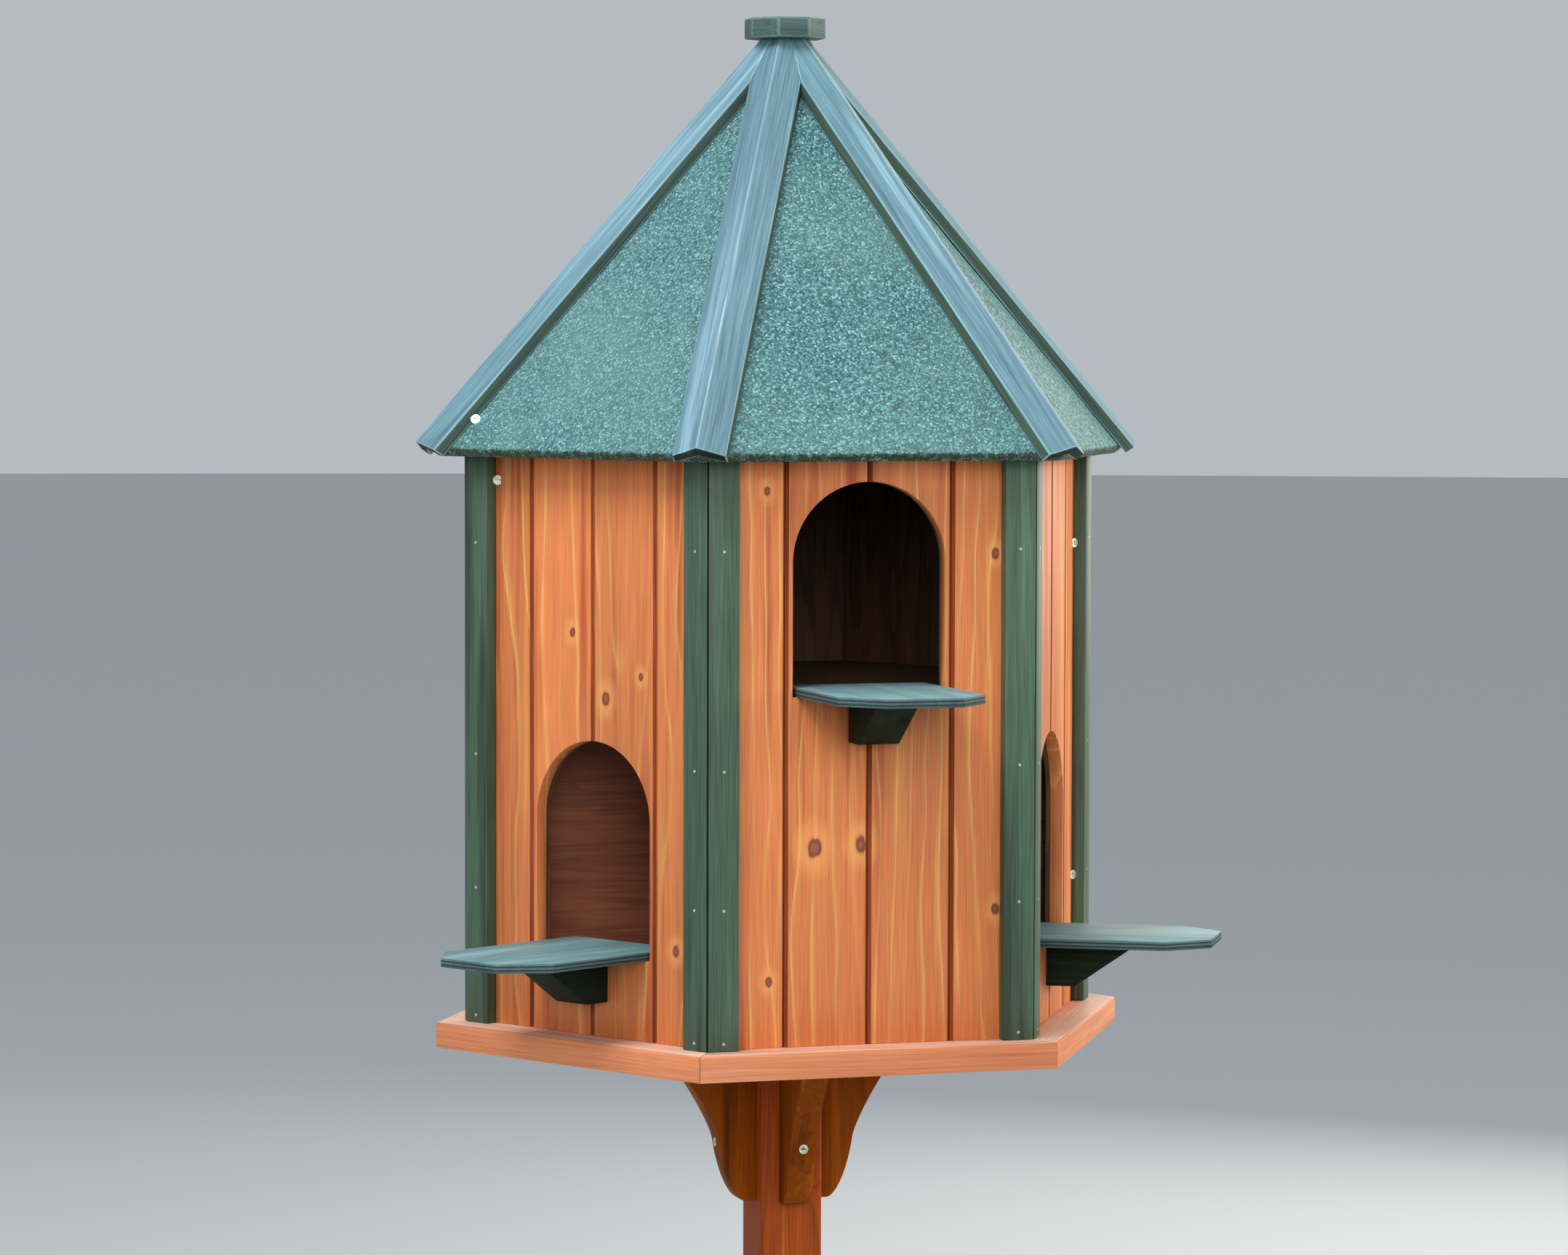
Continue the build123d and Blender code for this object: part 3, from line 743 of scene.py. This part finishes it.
def plated_steel(name, bright, dull, roughness):
    """Plated fixings: bright metal with dull patches where the plating has weathered."""
    finish, tree, shader = new_finish(name)
    where = tree.nodes.new("ShaderNodeTexCoord")
    patches = cloud(tree, where.outputs["Object"], (420, 420, 420), 3, 0.6)
    tree.links.new(ramp(tree, patches, (0.35, dull), (0.65, bright)), shader.inputs["Base Color"])
    tree.links.new(maths(tree, "MULTIPLY_ADD", patches, -0.25, roughness + 0.12),
                   shader.inputs["Roughness"])
    shader.inputs["Metallic"].default_value = 0.5
    return finish


finish_node("strip_pins", plated_steel("pin_steel", bright=stain(222, 222, 210),
                                       dull=stain(150, 152, 140), roughness=0.35))


# ---------------------------------------------------------------------------------------------
# Landings: 8 mm plywood plates with clipped outer corners, one through each doorway, brushed
# blue-green. Each rests on a wedge-shaped block of a very dark green.
# ---------------------------------------------------------------------------------------------
LANDING_CLIP_LONG, LANDING_CLIP_WIDE = 0.037, 0.032
LANDING_THICK = 0.008
PLACES = {5: "left", 0: "front", 1: "right"}
landing_low, landing_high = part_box("landing_front")


def landing_plate(name):
    """The front landing: a plate with its two outer corners clipped off."""
    plate = fresh_block(name, landing_low, landing_high)
    for side in (-1, 1):
        clip_end = Vector((landing_high.x * side, landing_low.y + LANDING_CLIP_LONG, 0))
        saw_off(plate, clip_end, (side * LANDING_CLIP_LONG, -LANDING_CLIP_WIDE, 0))
    soften(plate, width=0.0007)
    mark_grain(plate, (0, -1, 0), seed=120, pith_depth=0.3)
    layer = plate.data.attributes.new("layer", "FLOAT", "POINT")
    for i, vertex in enumerate(plate.data.vertices):
        layer.data[i].value = (vertex.co.z - landing_low.z) / LANDING_THICK
    return plate


def landing_finish():
    """Blue-green stain on five-ply: the inner veneers show as lines along the sawn edges."""
    finish, tree, shader = new_finish("landing_stain")
    figure = figured(tree, ring_width=0.011, slant=0.06, wander=0.05, knots=0.06)
    face = ramp(tree, figure["Streaks"], (0.3, stain(110, 144, 147)), (0.5, stain(126, 162, 165)),
                (0.72, stain(146, 180, 179)))
    face = blend(tree, maths(tree, "MULTIPLY", figure["Rings"], 0.25), face, stain(80, 110, 110))
    # brightness of the five veneers from the bottom up, then of the top face
    plies = ramp(tree, stored(tree, "layer")["Fac"], (0.0, 0.35), (0.19, 0.35), (0.2, 0.14),
                 (0.38, 0.14), (0.4, 0.4), (0.58, 0.4), (0.6, 0.14), (0.78, 0.14), (0.8, 0.5),
                 (0.985, 0.5), (1.0, 1.0))
    face = blend(tree, 1.0, face, plies, "MULTIPLY")
    fibres = ramp(tree, figure["Fibres"], (0.3, 0.75), (0.7, 1.05))
    tree.links.new(blend(tree, 1.0, face, fibres, "MULTIPLY"), shader.inputs["Base Color"])
    emboss(tree, shader, figure["Fibres"], strength=0.5, depth=0.0005)
    shader.inputs["Roughness"].default_value = 0.6
    shader.inputs["Specular IOR Level"].default_value = 0.15
    return finish


def fix_at_doorways(piece, name, finish, slot, node, seed):
    """Puts a copy of a piece of the front doorway at each doorway. The other two are lower."""
    for face, side_name in PLACES.items():
        copy = turned_copy(piece, f"{name}_{side_name}", FACE_TURN * face, seed=seed + face)
        if DOORWAY_FACES[face] == LOW_DOORWAY:
            copy.data.transform(Matrix.Translation((0, 0, LOWER_SILL - UPPER_SILL)))
        fix(copy, finish, slot, f"{node}_{side_name}")
    bpy.data.objects.remove(piece)


fix_at_doorways(landing_plate("high_plate"), "landing_plate", landing_finish(), "landing_ply",
                "landing", seed=130)

SUPPORT_NOSE = 0.006
SUPPORT_FOOT = 0.026
support_low, support_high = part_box("landing_support_front")
high_block = fresh_block("high_block", support_low, support_high)
nose = Vector((0, support_low.y, support_high.z - SUPPORT_NOSE))
heel = Vector((0, WALL_FACE - SUPPORT_FOOT, support_low.z))
under_slope = heel - nose
saw_off(high_block, nose, (0, under_slope.z, -under_slope.y))
soften(high_block, width=0.0009)
mark_grain(high_block, (0, 1, 0), seed=140)
block_stain = stained_timber("block_stain", pale=stain(44, 58, 42), body=stain(30, 42, 30),
                             deep=stain(18, 26, 18), ring_width=0.003, shine=0.05, tone_range=0.1)
fix_at_doorways(high_block, "landing_block", block_stain, "support_wood", "landing_support", seed=150)


# ---------------------------------------------------------------------------------------------
# Roof boards and felt: six ply panels, each under a sheet of green mineral felt that is turned
# down over the eave. The felt carries coarse crushed slate, worn off along the turned edge.
# ---------------------------------------------------------------------------------------------
roof_board_ply = plywood("roof_board_ply", pale=stain(168, 120, 76), deep=stain(122, 82, 50),
                         turn=LEVEL_GRAIN)
for face in FACES:
    finish_node(f"roof_panel_{face + 1}", roof_board_ply)

HIP_SLOPE = math.radians(48.5)
FACE_SLOPE = math.atan(math.tan(HIP_SLOPE) / math.cos(HALF_TURN))
FELT_APEX = Vector((0, 0, TRAY_TOP + 0.8906))
EAVE_APOTHEM = 0.2882
FELT_THICK = 0.002
FELT_TURN_R = 0.005
FELT_TURN_STEPS = 5
FELT_TURNED_DOWN = 0.006
FELT_SPARE = 0.01
FELT_CELL = 0.0034
FELT_CHIP = 0.0019
WORN_BEFORE_EAVE, WORN_BELOW_TOP = 0.02, 0.006
cap_low, cap_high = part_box("roof_cap")
down_slope = Vector((0, -math.cos(FACE_SLOPE), -math.sin(FACE_SLOPE)))
off_slope = Vector((0, -math.sin(FACE_SLOPE), math.cos(FACE_SLOPE)))


def press_clouds(sheet, name, size, strength):
    """Dents a surface with clouds of one size."""
    dents = sheet.modifiers.new(name, "DISPLACE")
    dents.texture = bpy.data.textures.new(name, "CLOUDS")
    dents.texture.noise_scale = size
    dents.strength = strength
    dents.mid_level = 0.9
    apply_last(sheet)


def felt_sheet(name):
    """The felt of face 0, laid flat, turned down at the eave, then cut along both hips."""
    slope_long = EAVE_APOTHEM / math.cos(FACE_SLOPE) - FELT_TURN_R
    wide = 2 * EAVE_APOTHEM * math.tan(HALF_TURN) + FELT_SPARE
    bpy.ops.mesh.primitive_grid_add(x_subdivisions=round(wide / FELT_CELL),
                                    y_subdivisions=round(slope_long / FELT_CELL), size=1,
                                    location=FELT_APEX + down_slope * slope_long / 2,
                                    rotation=(FACE_SLOPE, 0, 0))
    sheet = bpy.context.active_object
    sheet.name = name
    sheet.scale = (wide, slope_long, 1)
    bpy.ops.object.transform_apply(location=True, rotation=True, scale=True)
    eave_z = (FELT_APEX + down_slope * slope_long).z
    choose_edges(sheet, lambda a, b: max(a.z, b.z) < eave_z + NEAR)
    step = math.radians(90 / FELT_TURN_STEPS)
    chord = 2 * FELT_TURN_R * math.sin(step / 2)
    bends = [step * (k + 0.5) for k in range(FELT_TURN_STEPS)]
    folds = [(down_slope * math.cos(bend) - off_slope * math.sin(bend)) * chord for bend in bends]
    folds += [-off_slope * FELT_TURNED_DOWN / 2] * 2
    bpy.ops.object.mode_set(mode="EDIT")
    bpy.ops.mesh.select_mode(type="EDGE")
    for fold in folds:
        bpy.ops.mesh.extrude_region_move(TRANSFORM_OT_translate={"value": fold})
    bpy.ops.object.mode_set(mode="OBJECT")
    worn = sheet.data.attributes.new("worn", "FLOAT", "POINT")
    for i, vertex in enumerate(sheet.data.vertices):
        from_apex = vertex.co - FELT_APEX
        wear = (0.5 + (from_apex.dot(down_slope) - slope_long) / WORN_BEFORE_EAVE
                - from_apex.dot(off_slope) / WORN_BELOW_TOP)
        worn.data[i].value = max(0.0, min(1.0, wear))
    press_clouds(sheet, "felt_lay", size=0.09, strength=0.0014)
    press_clouds(sheet, "felt_mineral", size=0.003, strength=0.0004)
    body = sheet.modifiers.new("body", "SOLIDIFY")
    body.thickness = FELT_THICK
    body.offset = -1
    apply_last(sheet)
    mitre_ends(sheet, gap=0)
    saw_off(sheet, (0, 0, cap_low.z), (0, 0, 1))
    bpy.ops.object.shade_smooth_by_angle(angle=math.radians(50))
    return sheet


def felt_finish():
    """Crushed slate in dark bitumen: pale, teal and dark chips, thin where the edge has worn."""
    finish, tree, shader = new_finish("mineral_felt")
    where = tree.nodes.new("ShaderNodeTexCoord").outputs["Object"]
    chips = tree.nodes.new("ShaderNodeTexVoronoi")
    chips.inputs["Scale"].default_value = 1 / FELT_CHIP
    tree.links.new(where, chips.inputs["Vector"])
    chance = tree.nodes.new("ShaderNodeSeparateColor")
    tree.links.new(chips.outputs["Color"], chance.inputs[0])
    colour = ramp(tree, chance.outputs["Red"], (0.0, stain(54, 94, 98)), (0.22, stain(68, 116, 118)),
                  (0.55, stain(86, 140, 142)), (0.85, stain(112, 168, 172)),
                  (1.0, stain(158, 206, 210)))
    gaps = ramp(tree, chips.outputs["Distance"], (0.35, 1.0), (0.75, 0.45))
    colour = blend(tree, 1.0, colour, gaps, "MULTIPLY")
    drift = cloud(tree, where, (7, 7, 7), 3, 0.6)
    colour = blend(tree, ramp(tree, drift, (0.35, 0.0), (0.7, 0.35)), colour, stain(120, 160, 150))
    ragged = maths(tree, "MULTIPLY_ADD", cloud(tree, where, (130, 130, 130), 3, 0.7), 1.2, -0.6)
    bare = maths(tree, "ADD", stored(tree, "worn")["Fac"], ragged)
    bitumen = ramp(tree, chance.outputs["Green"], (0.0, stain(24, 38, 24)), (0.8, stain(40, 66, 44)),
                   (1.0, stain(84, 112, 84)))
    colour = blend(tree, ramp(tree, bare, (0.75, 0.0), (0.98, 1.0)), colour, bitumen)
    tree.links.new(colour, shader.inputs["Base Color"])
    height = maths(tree, "MULTIPLY_ADD", chips.outputs["Distance"], -1.0,
                   maths(tree, "MULTIPLY", chance.outputs["Blue"], 0.8))
    emboss(tree, shader, height, strength=0.8, depth=0.0012)
    tree.links.new(ramp(tree, chance.outputs["Red"], (0.0, 0.85), (1.0, 0.5)), shader.inputs["Roughness"])
    return finish


mineral_felt = felt_finish()
first_sheet = felt_sheet("first_sheet")
for face in FACES:
    sheet = plain_copy(first_sheet, f"felt_sheet_{face + 1}", FACE_TURN * face)
    fix(sheet, mineral_felt, "roof_felt", "roof_felt")
bpy.data.objects.remove(first_sheet)


# ---------------------------------------------------------------------------------------------
# Ridge battens: a five-sided bar over each hip, hollowed beneath to sit on both felt slopes and
# screwed down. Its top is blue-grey, partly its stain and partly painted cool skylight, and it is
# worn pale along the edges. The sides and the sawn end are darker with painted shade.
# ---------------------------------------------------------------------------------------------
BATTEN_WIDE = 0.047
BATTEN_SIDE = 0.0107
BATTEN_CROWN = 0.0135
BATTEN_LONG = 0.505
BATTEN_END_TILT = math.radians(8)
# how far the felt drops from a hip for each unit of distance to its side
HIP_FALL = math.tan(math.atan2(math.sin(HALF_TURN) * math.sin(FACE_SLOPE),
                               math.cos(HALF_TURN) * math.sin(FACE_SLOPE) * math.sin(HIP_SLOPE)
                               + math.cos(FACE_SLOPE) * math.cos(HIP_SLOPE)))
down_hip = Vector((0, -math.cos(HIP_SLOPE), -math.sin(HIP_SLOPE)))
off_hip = Vector((0, -math.sin(HIP_SLOPE), math.cos(HIP_SLOPE)))


def ridge_batten(name):
    """The batten of a hip that runs down along -Y, planed from a flat bar and sawn to length."""
    half, bed, spare = BATTEN_WIDE / 2, -BATTEN_WIDE / 2 * HIP_FALL, 0.03
    batten = fresh_block(name, (-half, -BATTEN_LONG - spare, bed), (half, spare, bed + BATTEN_SIDE))
    select_only(batten)
    bpy.ops.object.mode_set(mode="EDIT")
    bpy.ops.mesh.select_all(action="SELECT")
    bpy.ops.mesh.bisect(plane_co=(0, 0, 0), plane_no=(1, 0, 0))
    bpy.ops.object.mode_set(mode="OBJECT")
    for level, new_level in ((bed, 0), (bed + BATTEN_SIDE, BATTEN_CROWN)):
        choose_edges(batten, lambda a, b: max(abs(a.x), abs(b.x)) < NEAR
                     and max(abs(a.z - level), abs(b.z - level)) < NEAR)
        bpy.ops.object.mode_set(mode="EDIT")
        bpy.ops.mesh.select_mode(type="EDGE")
        bpy.ops.transform.translate(value=(0, 0, new_level - level))
        bpy.ops.object.mode_set(mode="OBJECT")
    batten.data.transform(Matrix.Translation(FELT_APEX) @ Matrix.Rotation(HIP_SLOPE, 4, "X"))
    crown_end = FELT_APEX + down_hip * BATTEN_LONG + off_hip * BATTEN_CROWN
    cut_angle = HIP_SLOPE + BATTEN_END_TILT
    saw_off(batten, crown_end, (0, -math.cos(cut_angle), -math.sin(cut_angle)))
    mitre_ends(batten, gap=0)
    saw_off(batten, (0, 0, cap_low.z), (0, 0, 1))
    return batten


batten_finishes = [
    # the top: its own grey stain with the blue of cool skylight painted in
    stained_timber("batten_stain_and_painted_sky", pale=stain(142, 178, 192), body=stain(108, 144, 156),
                   deep=stain(72, 106, 116), knot=stain(52, 76, 78), knots=0.05,
                   ring_width=0.0046, ring_strength=0.3, slant=0.02, shine=0.2),
    stained_timber("batten_arris", pale=stain(172, 202, 208), body=stain(132, 168, 176),
                   deep=stain(92, 126, 134)),
    # the sides and the sawn end below: darker finishes that are painted shade
    stained_timber("batten_side_painted_shade", pale=stain(104, 124, 108), body=stain(74, 94, 84),
                   deep=stain(48, 64, 54), knot=stain(36, 50, 42), knots=0.05, shine=0.1),
    stained_timber("batten_end_painted_shade", pale=stain(62, 80, 72), body=stain(36, 48, 42),
                   deep=stain(22, 32, 28), shine=0.05)]
ARRIS, SIDE, SAWN_END = 1, 2, 3
hip_batten = ridge_batten("hip_batten")
for finish in batten_finishes:
    hip_batten.data.materials.append(finish)
# the side faces and the sawn end take the finishes of painted shade
for side in hip_batten.data.polygons:
    across, out, up = side.normal
    if abs(across) > 0.9:
        side.material_index = SIDE
    elif abs(across) < 0.01 and out < -0.1 and up < -0.5:
        side.material_index = SAWN_END
soften(hip_batten, width=0.0011, arris_slot=ARRIS)
mark_grain(hip_batten, down_hip, seed=160)
for corner in FACES:
    batten = turned_copy(hip_batten, f"hip_batten_{corner + 1}", FACE_TURN * (corner + 0.5),
                         seed=170 + corner)
    fix(batten, None, "batten_wood", f"ridge_batten_{corner + 1}")
bpy.data.objects.remove(hip_batten)


# ---------------------------------------------------------------------------------------------
# Cap: an eight-sided block that covers the upper ends of the battens, stained a darker green
# than they are. All its edges are sanded round, which shows the paler wood.
# ---------------------------------------------------------------------------------------------
CAP_CORNER_R = 0.0376
CAP_TURN = math.radians(18.5)
bpy.ops.mesh.primitive_cylinder_add(vertices=8, radius=CAP_CORNER_R, depth=cap_high.z - cap_low.z,
                                    location=(0, 0, (cap_low.z + cap_high.z) / 2),
                                    rotation=(0, 0, CAP_TURN))
cap = bpy.context.active_object
cap.name = "eight_sided_cap"
bpy.ops.object.transform_apply(location=True, rotation=True, scale=True)
cap.data.materials.append(stained_timber("cap_stain", pale=stain(102, 132, 128),
                                         body=stain(76, 104, 102), deep=stain(50, 76, 70)))
cap.data.materials.append(stained_timber("cap_arris", pale=stain(146, 170, 156),
                                         body=stain(108, 136, 124), deep=stain(80, 108, 96)))
soften(cap, width=0.0018, segments=3, arris_slot=ARRIS)
mark_grain(cap, (1, 0, 0), seed=180)
fix(cap, None, "batten_wood", "roof_cap")


# ---------------------------------------------------------------------------------------------
# Screws: countersunk cross-head screws of plated steel. They hold the brackets to the post,
# draw the walls together beside the corner strips, and fix each batten to the roof.
# ---------------------------------------------------------------------------------------------
# the near-white base is bright plating with the sun's glint painted in
finish_node("fixing_screws", plated_steel("screw_plating_and_painted_glint", bright=stain(246, 248, 232),
                                          dull=stain(176, 184, 150), roughness=0.4))
